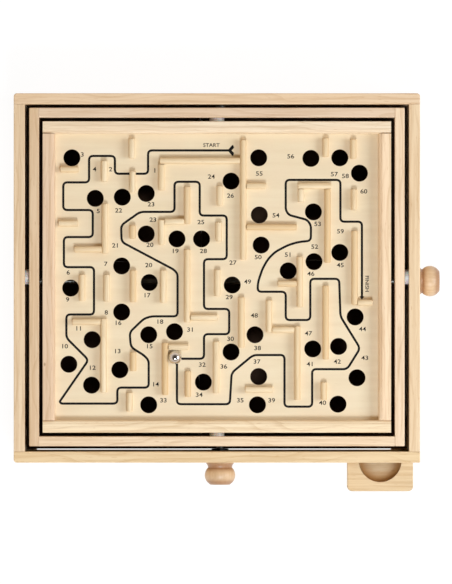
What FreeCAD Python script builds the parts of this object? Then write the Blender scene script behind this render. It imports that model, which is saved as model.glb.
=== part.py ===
import FreeCAD, Part
import math
import os

# Tilt maze: a wooden box holds a tilt frame, which rocks on pins in the side walls, and the
# frame holds the maze board, which rocks on pins in the frame. A knob and shaft on the front
# tips the board left and right, one on the right tips the frame front and back, each through
# a cord wound on its shaft. A steel ball runs on the board, and a sloped floor under it
# returns a dropped ball to the tray at the front right corner.
#
# Millimetres. +X right, +Y back, +Z up, z = 0 is the table. The parts are laid out round the
# middle of the box and moved once, at export, so that the origin is the middle of the whole
# object's footprint.

V = FreeCAD.Vector
AXIS_X = V(1, 0, 0)
AXIS_Y = V(0, 1, 0)
AXIS_Z = V(0, 0, 1)

# ---- box ---------------------------------------------------------------------------------
BOX_X = 330.0
BOX_Y = 300.0
BOX_H = 85.0
WALL = 9.0
CORNER_R = 2.6
EASE = 0.8              # also the front right corner, which is sharper than the others
HALF_X = BOX_X / 2
HALF_Y = BOX_Y / 2
INNER_X = HALF_X - WALL
INNER_Y = HALF_Y - WALL

# ---- tilt frame and maze board -----------------------------------------------------------
GIMBAL_Y = 0.8          # the tilt axes sit this far behind the middle of the box
GIMBAL_Z = 70.0
FRAME_X = 305.0
FRAME_Y = 275.0
FRAME_RAIL = 8.0
FRAME_TOP = 84.0
FRAME_BOTTOM = 56.0
BOARD_X = 283.0
BOARD_Y = 253.0
RIM = 10.0
RIM_ROUND = 2.9         # width of the moulded inner edge of the rims
RIM_SHOULDER = 0.8      # drop from the rim's top to that moulding
RIM_LEDGE = 0.3         # flat between that drop and the moulding's round
RIM_TOP = 83.0
RIM_BOTTOM = 59.0
PANEL_TOP = 72.0
PANEL_T = 4.0
GROOVE = 2.5

# ---- pivots ------------------------------------------------------------------------------
PIN_R = 1.5
RUNNING = 0.05          # radial clearance of everything that turns in a hole
PIN_IN_PARENT = 7.0
PIN_IN_CHILD = 5.0
PIN_END_GAP = 0.5       # between a pin's end and the bottom of its socket
SPACER_R = 6.0
SPACER_GAP = 0.3

# ---- controls ----------------------------------------------------------------------------
SHAFT_R = 2.5
RIGHT_SHAFT_Y = -2.5
RIGHT_SHAFT_Z = 41.0
FRONT_SHAFT_X = 2.5
FRONT_SHAFT_Z = 33.0
SHAFT_SEAT = 7.0
SHAFT_END_GAP = 1.0
KNOB_BARREL = 14.0      # from a knob's waist to its end
KNOB_BORE = 12.0
KNOB_COLLAR_R = 11.2
KNOB_HOLLOW_R = 10.3    # halfway along the collar
KNOB_COVE_R = 9.9
KNOB_WAIST_R = 9.8
KNOB_R = 12.5
KNOB_WIDEST = 5.6       # from the waist to where the barrel is widest
KNOB_SHOULDER_R = 9.0
KNOB_FACE_R = 7.9
KNOB_SHOULDER = 0.9     # from the shoulder to the flat end
FRONT_COLLAR = 4.2      # from a knob's base to its waist
FRONT_KNOB_GAP = 0.9
RIGHT_COLLAR = 2.6
RIGHT_KNOB_GAP = 0.3
WASHER_R = 7.0
WASHER_T = 1.0
CLIP_R = 4.5
CLIP_T = 0.8

# ---- cords -------------------------------------------------------------------------------
CORD_R = 0.4
CORD_TURNS = 3
CORD_OFFSET = (CORD_TURNS + 1) * CORD_R     # the stretches leave at the two ends of the turns
FRAME_CORD_X = -14.0
BOARD_CORD_Y = 14.0
EYE_R = 2.3
EYE_WIRE_R = 0.7
EYE_SHANK = 7.0
SPRING_R = 2.2
SPRING_BORE_R = 1.5
SPRING_L = 14.0

# ---- floor, exit and tray ----------------------------------------------------------------
FLOOR_T = 3.0
FLOOR_LOW = 8.5         # top of the floor at its lowest corner, front right
FLOOR_FALL_X = 6.0
FLOOR_FALL_Y = 14.0
FLOOR_GAP = 0.3
FLOOR_SLOT = 1.0        # open slot between the floor's front edge and the front wall
BATTEN_T = 5.0
BATTEN_LEFT_W = 8.0
BATTEN_RIGHT_W = 13.0
BATTEN_BACK_W = 8.0
TRAY_X = 134.0
TRAY_W = 54.0
TRAY_OUT = 25.0
TRAY_H = 14.0
TRAY_CORNER_R = 4.0
DISH_R = 17.5
DISH_Z = 7.0
DISH_ROUND = 5.5        # between the dish's bottom and its side
EXIT_H = 17.0
EXIT_CORNER_R = 4.0

# ---- maze --------------------------------------------------------------------------------
HOLE_R = 6.9
BALL_R = 5.5
BALL_GAP = 0.05         # under the resting ball
BALL_AT = (-34.0, -65.5)
STRIP_W = 5.0
STRIP_H = 7.0
STRIP_ROUND = 2.4       # of the strips' top edges, nearly a half round

# Ball holes, (x, y) from the middle of the board, column by column from the left.
HOLES = [
    (-118.0, 97.0), (-119.0, -9.0), (-120.5, -71.0),
    (-99.0, 64.0), (-101.5, -51.0), (-102.0, -88.0),
    (-77.0, 65.0), (-77.5, 9.0), (-77.5, -28.5), (-79.0, -75.5),
    (-57.5, 68.0), (-57.5, 35.0), (-55.0, -4.5), (-55.5, -47.0), (-55.5, -104.0),
    (-32.5, 31.0), (-34.5, -44.5),
    (-12.5, 31.0), (-11.0, -85.5),
    (11.5, 78.0), (12.5, -6.5), (11.5, -61.0),
    (34.0, 97.0), (34.5, 50.5), (36.0, 26.0), (31.0, -47.0), (34.0, -81.0), (33.0, -104.0),
    (58.0, 5.0),
    (76.5, 96.5), (78.5, 53.0), (79.0, 12.5), (78.0, -58.5),
    (100.0, 97.0), (100.0, 20.0), (99.0, -56.5), (98.5, -103.5),
    (116.0, 84.5), (112.5, -32.5), (114.0, -82.0),
]

# Barrier strips that run front to back, (x, y from, y to), and those that run left to right,
# (y, x from, x to), on their centre lines from the middle of the board.
STRIPS_ALONG_Y = [
    (-109.5, -19.5, 2.0), (-92.0, -94.0, -34.0), (-91.5, 77.5, 94.5), (-91.0, 19.0, 59.5),
    (-89.5, -20.0, 2.0), (-71.0, -109.5, -94.0), (-69.0, 96.5, 112.5), (-68.5, 68.5, 86.0),
    (-68.5, 31.0, 42.0), (-68.0, -76.5, -61.0), (-68.0, -20.5, 5.5), (-45.0, 26.0, 46.5),
    (-45.0, 70.5, 91.5), (-43.5, -21.0, 5.5), (-42.0, -96.0, -53.5), (-24.0, 43.0, 73.5),
    (-24.0, -37.0, 22.5), (-23.5, -97.5, -76.5), (-0.5, -94.5, -52.5), (0.5, -15.5, 6.0),
    (2.5, 58.0, 74.0), (1.5, 29.0, 44.5), (20.0, -57.5, -16.5), (21.5, 14.0, 111.5),
    (42.5, -45.0, -19.0), (65.5, -100.0, -40.0), (67.5, -24.5, 16.5), (68.5, 61.0, 71.5),
    (87.0, -100.0, -85.5), (88.5, 97.5, 113.0), (88.5, -67.0, -7.0), (90.0, 11.5, 71.5),
    (111.0, 96.0, 112.0), (112.0, -22.5, 37.5), (111.5, 54.5, 71.5),
]
STRIPS_ALONG_X = [
    (94.5, -46.5, 19.0), (87.5, -127.5, -112.5), (74.0, 66.0, 93.0), (74.0, 24.0, 40.0),
    (45.0, -42.5, -26.5), (43.5, -129.0, -113.0), (40.5, 24.0, 65.0), (22.5, -116.0, -93.5),
    (-5.5, 49.5, 65.0), (-21.0, 114.5, 126.5), (-33.0, -21.5, 0.5), (-36.5, -117.5, -94.5),
    (-43.0, 45.0, 63.0), (-57.0, -39.5, -23.0), (-91.5, 23.0, 45.5),
]
GROUP_X = 44.0          # the board's left, centre and right thirds meet here
GROUP_Y = 39.0

# ---- brads -------------------------------------------------------------------------------
BRAD_R = 0.7
BRAD_HEAD_R = 1.1
BRAD_HEAD_T = 0.8
BRAD_L = 22.0
BOX_BRAD_Z = (14.0, 43.0, 72.0)
FRAME_BRAD_Z = (63.0, 77.0)

# The footprint runs from the left wall to the right knob's end and from the tray to the
# back wall.
ORIGIN = V((RIGHT_KNOB_GAP + RIGHT_COLLAR + KNOB_BARREL) / 2, -TRAY_OUT / 2, 0)


def block(x, y, z, ease=0.0):
    """A box between two x, two y and two z values, with every edge eased."""
    shape = Part.makeBox(x[1] - x[0], y[1] - y[0], z[1] - z[0], V(x[0], y[0], z[0]))
    if ease:
        shape = shape.makeFillet(ease, shape.Edges)
    return shape


def round_edges(shape, radius, wanted):
    """Fillet the edges whose bounding box passes the test `wanted`."""
    edges = [edge for edge in shape.Edges if wanted(edge.BoundBox)]
    return shape.makeFillet(radius, edges)


def rod(radius, start, end):
    """A round bar from one point to another."""
    run = end - start
    return Part.makeCylinder(radius, run.Length, start, run)


def sleeve(outer, inner, start, end):
    """A tube from one point to another."""
    return rod(outer, start, end).cut(rod(inner, start, end))


def aim(shape, origin, axis):
    """Put a shape that was made along +Z at a point, along an axis."""
    placed = shape.copy()
    placed.Placement = FreeCAD.Placement(origin, FreeCAD.Rotation(AXIS_Z, axis))
    return placed


def drilled(shape, tools):
    """Take a list of solids out of a shape."""
    return shape.cut(Part.makeCompound(tools))


# ---- box ---------------------------------------------------------------------------------
def brad(top, axis):
    """A brad whose head is flush with the wood at `top`, driven along an axis."""
    head = rod(BRAD_HEAD_R, top, top + axis * BRAD_HEAD_T)
    shank = rod(BRAD_R, top + axis * BRAD_HEAD_T, top + axis * BRAD_L)
    return head.fuse(shank)


BOX_BRADS = [brad(V(side_x * (HALF_X - WALL / 2), side_y * HALF_Y, z), V(0, -side_y, 0))
             for side_x in (-1, 1) for side_y in (-1, 1) for z in BOX_BRAD_Z]
FRAME_BRADS = [brad(V(side_x * FRAME_X / 2, GIMBAL_Y + side_y * (FRAME_Y - FRAME_RAIL) / 2, z),
                    V(-side_x, 0, 0))
               for side_x in (-1, 1) for side_y in (-1, 1) for z in FRAME_BRAD_Z]


def long_wall(side):
    """The front (-1) or back (+1) wall, full width, with round outer corners."""
    y = sorted((side * INNER_Y, side * HALF_Y))
    wall = block((-HALF_X, HALF_X), y, (0, BOX_H))
    for corner_x, radius in ((-HALF_X, CORNER_R), (HALF_X, EASE if side < 0 else CORNER_R)):
        corner = V(corner_x, side * HALF_Y, BOX_H / 2)
        wall = round_edges(wall, radius, lambda b: b.ZLength > BOX_H - 1 and b.isInside(corner))
    wall = round_edges(wall, EASE, lambda b: b.ZMin > BOX_H - 1)
    return drilled(wall, BOX_BRADS)


def floor_z(x, y):
    """Height of the floor's top, which falls to the front and to the right."""
    right = (x + INNER_X) / (2 * INNER_X)
    front = (INNER_Y - y) / (2 * INNER_Y)
    return FLOOR_LOW + FLOOR_FALL_X * (1 - right) + FLOOR_FALL_Y * (1 - front)


def front_wall():
    wall = long_wall(-1)
    exit_hole = block((TRAY_X - DISH_R, TRAY_X + DISH_R), (-HALF_Y - 5, -INNER_Y + 5),
                      (DISH_Z, DISH_Z + EXIT_H))
    exit_hole = round_edges(exit_hole, EXIT_CORNER_R,
                            lambda b: b.YLength > WALL and b.ZMin > DISH_Z + 1)
    shaft_hole = rod(SHAFT_R + RUNNING, V(FRONT_SHAFT_X, -HALF_Y - 1, FRONT_SHAFT_Z),
                     V(FRONT_SHAFT_X, -INNER_Y + 1, FRONT_SHAFT_Z))
    return drilled(wall, [exit_hole, shaft_hole])


def back_wall():
    seat = rod(SHAFT_R + RUNNING, V(FRONT_SHAFT_X, INNER_Y - 1, FRONT_SHAFT_Z),
               V(FRONT_SHAFT_X, INNER_Y + SHAFT_SEAT, FRONT_SHAFT_Z))
    return drilled(long_wall(1), [seat])


def side_wall(side):
    """The left (-1) or right (+1) wall, fitted between the long walls."""
    x = sorted((side * INNER_X, side * HALF_X))
    wall = block(x, (-INNER_Y, INNER_Y), (0, BOX_H))
    wall = round_edges(wall, EASE, lambda b: b.ZMin > BOX_H - 1 and b.YLength > INNER_Y)
    depth = SHAFT_SEAT if side < 0 else WALL + 1
    shaft_hole = rod(SHAFT_R + RUNNING, V(side * (INNER_X - 1), RIGHT_SHAFT_Y, RIGHT_SHAFT_Z),
                     V(side * (INNER_X + depth), RIGHT_SHAFT_Y, RIGHT_SHAFT_Z))
    pin_hole = rod(PIN_R, V(side * (INNER_X - 1), GIMBAL_Y, GIMBAL_Z),
                   V(side * (INNER_X + PIN_IN_PARENT), GIMBAL_Y, GIMBAL_Z))
    return drilled(wall, [shaft_hole, pin_hole] + BOX_BRADS)


def sloped_slab(x, y, drop, thickness):
    """A slab whose top lies `drop` below the top of the sloped floor."""
    corners = [V(cx, cy, floor_z(cx, cy) - drop)
               for cx, cy in ((x[0], y[0]), (x[1], y[0]), (x[1], y[1]), (x[0], y[1]))]
    face = Part.Face(Part.makePolygon(corners + corners[:1]))
    return face.extrude(V(0, 0, -thickness))


def floor_panel():
    edge = INNER_X - FLOOR_GAP
    return sloped_slab((-edge, edge), (-INNER_Y + FLOOR_SLOT, INNER_Y - FLOOR_GAP), 0, FLOOR_T)


def floor_batten(x, y):
    return sloped_slab(x, y, FLOOR_T, BATTEN_T)


def ball_tray():
    """The block below the exit, with a half-round dish that catches the ball."""
    x = (TRAY_X - TRAY_W / 2, TRAY_X + TRAY_W / 2)
    front = -HALF_Y - TRAY_OUT
    tray = block(x, (front, -HALF_Y), (0, TRAY_H))
    tray = round_edges(tray, TRAY_CORNER_R, lambda b: b.ZLength > 1 and b.YMax < front + 1)
    tray = round_edges(tray, EASE, lambda b: b.ZMin > TRAY_H - 1 and b.YMin < -HALF_Y - 1)
    dish = Part.makeCylinder(DISH_R, TRAY_H, V(TRAY_X, -HALF_Y, DISH_Z))
    dish = round_edges(dish, DISH_ROUND, lambda b: b.ZMax < DISH_Z + 1)
    return tray.cut(dish)


# ---- pivots ------------------------------------------------------------------------------
GIMBAL = V(0, GIMBAL_Y, GIMBAL_Z)       # where the two tilt axes cross


def pivot_pins(axis, parent_face, child_face):
    """Two pins on one tilt axis, from the outer part's inner face into the inner part.

    The faces are distances along the axis from where the tilt axes cross.
    """
    pins = [rod(PIN_R, GIMBAL + axis * side * (child_face - PIN_IN_CHILD),
                GIMBAL + axis * side * (parent_face + PIN_IN_PARENT)) for side in (-1, 1)]
    return Part.makeCompound(pins)


def pivot_washers(axis, parent_face, child_face):
    """The nylon washers on two pivot pins, against the outer part."""
    washers = [sleeve(SPACER_R, PIN_R, GIMBAL + axis * side * (child_face + SPACER_GAP),
                      GIMBAL + axis * side * parent_face) for side in (-1, 1)]
    return Part.makeCompound(washers)


def pin_socket(axis, child_face):
    """The blind hole that a pivot pin turns in."""
    return rod(PIN_R + RUNNING, GIMBAL + axis * (child_face - PIN_IN_CHILD - PIN_END_GAP),
               GIMBAL + axis * (child_face + 1))


# ---- cords -------------------------------------------------------------------------------
def screw_eyes(centres, axis, wood_z):
    """Small screw eyes hanging from wood whose underside is at wood_z."""
    eyes = []
    for centre in centres:
        ring = Part.makeTorus(EYE_R, EYE_WIRE_R, centre, axis)
        shank = rod(EYE_WIRE_R, centre + AXIS_Z * EYE_R,
                    V(centre.x, centre.y, wood_z + EYE_SHANK))
        eyes.append(ring.fuse(shank))
    return Part.makeCompound(eyes)


def eye_hole(ring_centre, wood_z):
    return rod(EYE_WIRE_R, V(ring_centre.x, ring_centre.y, wood_z - 1),
               V(ring_centre.x, ring_centre.y, wood_z + EYE_SHANK))


EYE_DROP = EYE_R + EYE_WIRE_R
FRAME_EYES = [V(FRAME_CORD_X, GIMBAL_Y + side * (FRAME_Y - FRAME_RAIL) / 2, FRAME_BOTTOM - EYE_DROP)
              for side in (-1, 1)]
BOARD_EYES = [V(side * (BOARD_X - RIM) / 2, BOARD_CORD_Y, RIM_BOTTOM - EYE_DROP)
              for side in (-1, 1)]
FRAME_DRUM = V(FRAME_CORD_X, RIGHT_SHAFT_Y, RIGHT_SHAFT_Z)
BOARD_DRUM = V(FRONT_SHAFT_X, BOARD_CORD_Y, FRONT_SHAFT_Z)


def cord_start(drum, eye):
    """Where the cord's centre line leaves the top of its winding towards an eye."""
    across = V(eye.x - drum.x, eye.y - drum.y, 0)
    side = across / across.Length
    rise = math.atan2(eye.z - drum.z, across.Length)
    reach = math.hypot(across.Length, eye.z - drum.z)
    wound_r = SHAFT_R + CORD_R
    turn = rise + math.acos(wound_r / reach)
    return drum + side * (wound_r * math.cos(turn)) + AXIS_Z * (wound_r * math.sin(turn))


def cord_strand(drum, eye, beside_turns, sprung):
    """The straight stretch of a cord, and the tension spring at its end if it has one."""
    start = cord_start(drum, eye) + beside_turns
    run = (eye - start) / (eye - start).Length
    near_eye = eye - run * (EYE_R + EYE_WIRE_R)
    if not sprung:
        return rod(CORD_R, start, near_eye), None
    spring_start = near_eye - run * SPRING_L
    spring = sleeve(SPRING_R, SPRING_BORE_R, spring_start, near_eye)
    return rod(CORD_R, start, spring_start), spring


def cord_turns(drum, axis):
    """The turns of cord on a shaft."""
    half = axis * (CORD_TURNS * CORD_R)
    return sleeve(SHAFT_R + 2 * CORD_R, SHAFT_R, drum - half, drum + half)


# ---- tilt frame --------------------------------------------------------------------------
def frame_side_rail(side):
    """The left (-1) or right (+1) rail, full depth."""
    outer = FRAME_X / 2
    x = sorted((side * (outer - FRAME_RAIL), side * outer))
    y = (GIMBAL_Y - FRAME_Y / 2, GIMBAL_Y + FRAME_Y / 2)
    rail = block(x, y, (FRAME_BOTTOM, FRAME_TOP), EASE)
    return drilled(rail, [pin_socket(AXIS_X * side, outer)] + FRAME_BRADS)


def frame_cross_rail(side):
    """The front (-1) or back (+1) rail, between the side rails."""
    outer = FRAME_Y / 2
    half = FRAME_X / 2 - FRAME_RAIL
    y = sorted((GIMBAL_Y + side * (outer - FRAME_RAIL), GIMBAL_Y + side * outer))
    rail = block((-half, half), y, (FRAME_BOTTOM, FRAME_TOP))
    rail = round_edges(rail, EASE, lambda b: b.XLength > half)
    pin_hole = rod(PIN_R, V(0, GIMBAL_Y + side * (outer - FRAME_RAIL - 1), GIMBAL_Z),
                   V(0, GIMBAL_Y + side * (outer - FRAME_RAIL + PIN_IN_PARENT), GIMBAL_Z))
    eye = FRAME_EYES[0] if side < 0 else FRAME_EYES[1]
    return drilled(rail, [pin_hole, eye_hole(eye, FRAME_BOTTOM)] + FRAME_BRADS)


# ---- maze board --------------------------------------------------------------------------
PANEL_HALF_X = BOARD_X / 2 - RIM + GROOVE
PANEL_HALF_Y = BOARD_Y / 2 - RIM + GROOVE


def panel_blank():
    """The panel before drilling, which is also the groove that the rims get."""
    return block((-PANEL_HALF_X, PANEL_HALF_X), (GIMBAL_Y - PANEL_HALF_Y, GIMBAL_Y + PANEL_HALF_Y),
                 (PANEL_TOP - PANEL_T, PANEL_TOP))


def maze_panel():
    holes = [Part.makeCylinder(HOLE_R, 2 * PANEL_T, V(x, GIMBAL_Y + y, PANEL_TOP - 1.5 * PANEL_T))
             for x, y in HOLES]
    return drilled(panel_blank(), holes)


def rim_bar(x, y, inward):
    """A rim bar with eased edges and, along its inner top edge, a shoulder and a round.

    `inward` is the direction from the bar to the middle of the board.
    """
    along_x = abs(inward.y) > 0
    bar = block(x, y, (RIM_BOTTOM, RIM_TOP))
    if along_x:
        bar = round_edges(bar, EASE, lambda b: b.XLength > RIM and b.ZMax > RIM_BOTTOM)
    shoulder = block(x, y, (RIM_TOP - RIM_SHOULDER, RIM_TOP + 1))
    shoulder.translate(inward * (RIM - RIM_ROUND))
    bar = bar.cut(shoulder)
    inner = (y[0] if inward.y < 0 else y[1]) if along_x else (x[0] if inward.x < 0 else x[1])

    def on_inner_edge(b):
        low, high = (b.YMin, b.YMax) if along_x else (b.XMin, b.XMax)
        length = b.XLength if along_x else b.YLength
        return length > RIM and b.ZMin > RIM_TOP - 1 and abs(low - inner) + abs(high - inner) < 0.01

    return round_edges(bar, RIM_ROUND - RIM_LEDGE, on_inner_edge)


def rim_long(side):
    """The front (-1) or back (+1) rim, full width."""
    outer = BOARD_Y / 2
    y = sorted((GIMBAL_Y + side * (outer - RIM), GIMBAL_Y + side * outer))
    rim = rim_bar((-BOARD_X / 2, BOARD_X / 2), y, AXIS_Y * -side)
    return drilled(rim, [panel_blank(), pin_socket(AXIS_Y * side, outer)])


def rim_side(side):
    """The left (-1) or right (+1) rim, between the long rims."""
    outer = BOARD_X / 2
    half = BOARD_Y / 2 - RIM
    x = sorted((side * (outer - RIM), side * outer))
    rim = rim_bar(x, (GIMBAL_Y - half, GIMBAL_Y + half), AXIS_X * -side)
    eye = BOARD_EYES[0] if side < 0 else BOARD_EYES[1]
    return drilled(rim, [panel_blank(), eye_hole(eye, RIM_BOTTOM)])


def strip(x, y):
    """One barrier strip glued on the panel, with round top edges."""
    bar = block(x, (GIMBAL_Y + y[0], GIMBAL_Y + y[1]), (PANEL_TOP, PANEL_TOP + STRIP_H))
    return round_edges(bar, STRIP_ROUND, lambda b: b.ZMin > PANEL_TOP + STRIP_H - 1)


def third(value, limit, names):
    """Which third of the board a coordinate falls in."""
    if value < -limit:
        return names[0]
    return names[2] if value > limit else names[1]


def barrier_groups():
    """Every barrier strip, gathered by the ninth of the board that it stands in."""
    half = STRIP_W / 2
    spans = [((x - half, x + half), (y0, y1)) for x, y0, y1 in STRIPS_ALONG_Y]
    spans += [((x0, x1), (y - half, y + half)) for y, x0, x1 in STRIPS_ALONG_X]
    groups = {}
    for x, y in spans:
        row = third(sum(y) / 2, GROUP_Y, ("front", "middle", "back"))
        column = third(sum(x) / 2, GROUP_X, ("left", "centre", "right"))
        groups.setdefault("barriers_%s_%s" % (row, column), []).append(strip(x, y))
    return {name: Part.makeCompound(strips) for name, strips in groups.items()}


# ---- controls ----------------------------------------------------------------------------
def knob_blank(collar_l):
    """The turned knob, along +Z from the face next to the wall, with its waist at collar_l."""
    bottom = V(0, 0, 0)
    collar = V(KNOB_COLLAR_R, 0, 0)
    collar_edge = V(KNOB_COLLAR_R, 0, 0.2 * collar_l)
    hollow = V(KNOB_HOLLOW_R, 0, 0.52 * collar_l)
    cove = V(KNOB_COVE_R, 0, 0.85 * collar_l)
    waist = V(KNOB_WAIST_R, 0, collar_l)
    widest = V(KNOB_R, 0, collar_l + KNOB_WIDEST)
    shoulder = V(KNOB_SHOULDER_R, 0, collar_l + KNOB_BARREL - KNOB_SHOULDER)
    face_edge = V(KNOB_FACE_R, 0, collar_l + KNOB_BARREL)
    top = V(0, 0, collar_l + KNOB_BARREL)
    outline = Part.Wire([
        Part.LineSegment(bottom, collar).toShape(),
        Part.LineSegment(collar, collar_edge).toShape(),
        Part.Arc(collar_edge, hollow, cove).toShape(),
        Part.LineSegment(cove, waist).toShape(),
        Part.Arc(waist, widest, shoulder).toShape(),
        Part.LineSegment(shoulder, face_edge).toShape(),
        Part.LineSegment(face_edge, top).toShape(),
        Part.LineSegment(top, bottom).toShape(),
    ])
    knob = Part.Face(outline).revolve(V(0, 0, 0), AXIS_Z, 360)
    bore = Part.makeCylinder(SHAFT_R, KNOB_BORE + 1, V(0, 0, -1))
    return knob.cut(bore)


def control(name, line, axis, inner_face, knob_gap, collar_l):
    """A knob, its shaft, and the washer and clip that hold the shaft, by node name.

    `line` is the shaft's point level with the middle of the box, `axis` points from there
    towards the knob, and `inner_face` is how far away the wall's inner face is.
    """
    knob_base = inner_face + WALL + knob_gap
    washer = inner_face - SPACER_GAP
    return {
        name + "_knob": aim(knob_blank(collar_l), line + axis * knob_base, axis),
        name + "_shaft": rod(SHAFT_R, line - axis * (inner_face + SHAFT_SEAT - SHAFT_END_GAP),
                             line + axis * (knob_base + KNOB_BORE)),
        name + "_shaft_washer": sleeve(WASHER_R, SHAFT_R, line + axis * (washer - WASHER_T),
                                       line + axis * washer),
        name + "_shaft_clip": sleeve(CLIP_R, SHAFT_R, line - axis * washer,
                                     line - axis * (washer - CLIP_T)),
    }


def steel_ball():
    x, y = BALL_AT
    return Part.makeSphere(BALL_R, V(x, GIMBAL_Y + y, PANEL_TOP + BALL_R + BALL_GAP))


def build():
    """Every node of the object, by name, round the middle of the box."""
    frame_inner_y = FRAME_Y / 2 - FRAME_RAIL
    beside_x = AXIS_X * CORD_OFFSET
    beside_y = AXIS_Y * CORD_OFFSET
    front_strand, _ = cord_strand(FRAME_DRUM, FRAME_EYES[0], -beside_x, False)
    back_strand, frame_spring = cord_strand(FRAME_DRUM, FRAME_EYES[1], beside_x, True)
    left_strand, _ = cord_strand(BOARD_DRUM, BOARD_EYES[0], -beside_y, False)
    right_strand, board_spring = cord_strand(BOARD_DRUM, BOARD_EYES[1], beside_y, True)
    nodes = {
        "front_wall": front_wall(),
        "back_wall": back_wall(),
        "left_wall": side_wall(-1),
        "right_wall": side_wall(1),
        "box_brads": Part.makeCompound(BOX_BRADS),
        "floor_panel": floor_panel(),
        "floor_batten_left": floor_batten((-INNER_X, -INNER_X + BATTEN_LEFT_W),
                                          (-INNER_Y, INNER_Y)),
        "floor_batten_right": floor_batten((INNER_X - BATTEN_RIGHT_W, INNER_X),
                                           (-INNER_Y, INNER_Y)),
        "floor_batten_back": floor_batten((-INNER_X + BATTEN_LEFT_W, INNER_X - BATTEN_RIGHT_W),
                                          (INNER_Y - BATTEN_BACK_W, INNER_Y)),
        "ball_tray": ball_tray(),
        "frame_pivot_pins": pivot_pins(AXIS_X, INNER_X, FRAME_X / 2),
        "frame_pivot_washers": pivot_washers(AXIS_X, INNER_X, FRAME_X / 2),
        "frame_rail_left": frame_side_rail(-1),
        "frame_rail_right": frame_side_rail(1),
        "frame_rail_front": frame_cross_rail(-1),
        "frame_rail_back": frame_cross_rail(1),
        "frame_brads": Part.makeCompound(FRAME_BRADS),
        "board_pivot_pins": pivot_pins(AXIS_Y, frame_inner_y, BOARD_Y / 2),
        "board_pivot_washers": pivot_washers(AXIS_Y, frame_inner_y, BOARD_Y / 2),
        "frame_cord_eyes": screw_eyes(FRAME_EYES, AXIS_X, FRAME_BOTTOM),
        "frame_cord_spring": frame_spring,
        "maze_panel": maze_panel(),
        "board_rim_front": rim_long(-1),
        "board_rim_back": rim_long(1),
        "board_rim_left": rim_side(-1),
        "board_rim_right": rim_side(1),
        "board_cord_eyes": screw_eyes(BOARD_EYES, AXIS_Y, RIM_BOTTOM),
        "board_cord_spring": board_spring,
        "frame_cord_front": front_strand,
        "frame_cord_back": back_strand,
        "board_cord_left": left_strand,
        "board_cord_right": right_strand,
        "frame_cord_turns": cord_turns(FRAME_DRUM, AXIS_X),
        "board_cord_turns": cord_turns(BOARD_DRUM, AXIS_Y),
        "steel_ball": steel_ball(),
    }
    nodes.update(barrier_groups())
    nodes.update(control("right", V(0, RIGHT_SHAFT_Y, RIGHT_SHAFT_Z), AXIS_X, INNER_X,
                         RIGHT_KNOB_GAP, RIGHT_COLLAR))
    nodes.update(control("front", V(FRONT_SHAFT_X, 0, FRONT_SHAFT_Z), -AXIS_Y, INNER_Y,
                         FRONT_KNOB_GAP, FRONT_COLLAR))
    return nodes


def main():
    os.makedirs("parts", exist_ok=True)
    for name, shape in build().items():
        placed = shape.copy()
        placed.translate(-ORIGIN)
        placed.exportStep("parts/%s.step" % name)
        print("%-24s %2d solids %10.1f mm3 valid %s"
              % (name, len(placed.Solids), placed.Volume, placed.isValid()))


main()
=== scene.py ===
import math
import random

import bmesh
import bpy
from mathutils import Matrix, Vector
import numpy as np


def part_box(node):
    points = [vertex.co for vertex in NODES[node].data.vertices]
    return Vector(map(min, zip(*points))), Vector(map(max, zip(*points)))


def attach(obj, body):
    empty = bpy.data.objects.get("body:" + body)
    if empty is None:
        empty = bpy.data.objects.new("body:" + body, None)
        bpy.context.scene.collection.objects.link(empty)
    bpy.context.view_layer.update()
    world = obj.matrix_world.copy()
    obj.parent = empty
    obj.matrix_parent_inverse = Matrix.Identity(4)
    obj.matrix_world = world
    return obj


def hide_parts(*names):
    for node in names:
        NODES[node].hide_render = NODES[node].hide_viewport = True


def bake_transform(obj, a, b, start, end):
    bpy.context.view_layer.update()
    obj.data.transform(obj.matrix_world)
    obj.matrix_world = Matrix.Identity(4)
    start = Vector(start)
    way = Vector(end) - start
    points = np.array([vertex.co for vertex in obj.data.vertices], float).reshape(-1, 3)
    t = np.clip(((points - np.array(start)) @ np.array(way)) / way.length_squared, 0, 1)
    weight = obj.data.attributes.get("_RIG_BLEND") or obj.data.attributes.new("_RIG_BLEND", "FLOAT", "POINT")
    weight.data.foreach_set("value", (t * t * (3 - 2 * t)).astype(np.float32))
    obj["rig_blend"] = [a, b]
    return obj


# A tilt maze game seen from straight above: a pale wooden box, a frame and a maze board that
# tilt inside it, two turned knobs, a steel ball and the tray that catches it. The CAD nodes
# carry most shapes. This script adds the barrier strips, the knobs, the cords with their
# turns and springs, and the printing on the board, and gives every piece its material.

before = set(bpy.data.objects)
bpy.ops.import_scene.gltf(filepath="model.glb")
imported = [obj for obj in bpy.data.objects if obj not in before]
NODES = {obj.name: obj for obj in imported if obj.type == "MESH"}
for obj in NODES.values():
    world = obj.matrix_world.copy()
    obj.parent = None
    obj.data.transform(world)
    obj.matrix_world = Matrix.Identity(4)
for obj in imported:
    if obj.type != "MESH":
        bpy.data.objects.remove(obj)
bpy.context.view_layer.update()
MM = 0.001


def middle(node):
    low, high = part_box(node)
    return (low + high) / 2


BOX_LOW = Vector((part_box("left_wall")[0].x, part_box("front_wall")[0].y, 0))
BOX_HIGH = Vector((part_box("right_wall")[1].x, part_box("back_wall")[1].y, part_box("back_wall")[1].z))
BOX_MIDDLE = (BOX_LOW + BOX_HIGH) / 2
PANEL = middle("maze_panel")
PANEL_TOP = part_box("maze_panel")[1].z

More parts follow.
